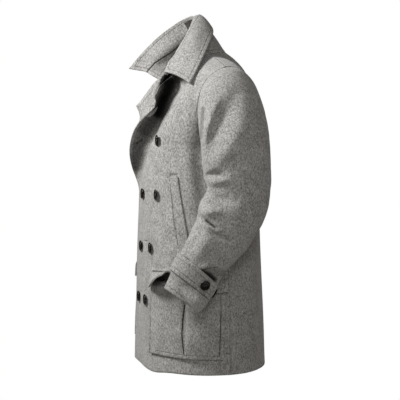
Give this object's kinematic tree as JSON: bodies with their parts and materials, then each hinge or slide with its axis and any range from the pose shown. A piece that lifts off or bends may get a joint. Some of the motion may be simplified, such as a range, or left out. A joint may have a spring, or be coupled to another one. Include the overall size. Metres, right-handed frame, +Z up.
{
  "type": "loden jacket",
  "caption": "Double-breasted grey loden car coat in worn shape, with a turned-up collar, half-rolled lapels, flapped patch pockets and buttoned cuff straps.",
  "frame": {"origin": "on the wearer's shoulders: at the level of the back of the neck, on the body's middle line", "axes": "+Z up, the jacket faces -Y, +X towards its left"},
  "size_m": [0.7521, 0.3617, 0.9222],
  "materials": {
    "loden": "brushed melton, matt, heather grey",
    "horn": "dark polished horn",
    "ribbon": "plain dark woven ribbon"
  },
  "bodies": {
    "root": {"back": "loden", "collar": "loden", "left_front": "loden", "left_sleeve": "loden", "left_pocket": "loden", "left_flap": "loden", "left_welt": "loden", "left_cuff_strap": "loden", "right_front": "loden", "right_sleeve": "loden", "right_pocket": "loden", "right_flap": "loden", "right_welt": "loden", "right_cuff_strap": "loden", "left_front_button_1": "horn", "left_front_button_2": "horn", "left_front_button_3": "horn", "left_front_button_4": "horn", "right_front_button_1": "horn", "right_front_button_2": "horn", "right_front_button_3": "horn", "right_front_button_4": "horn", "left_cuff_button_1": "horn", "left_cuff_button_2": "horn", "right_cuff_button_1": "horn", "right_cuff_button_2": "horn", "collar_label": "ribbon"}
  },
  "joints": []
}
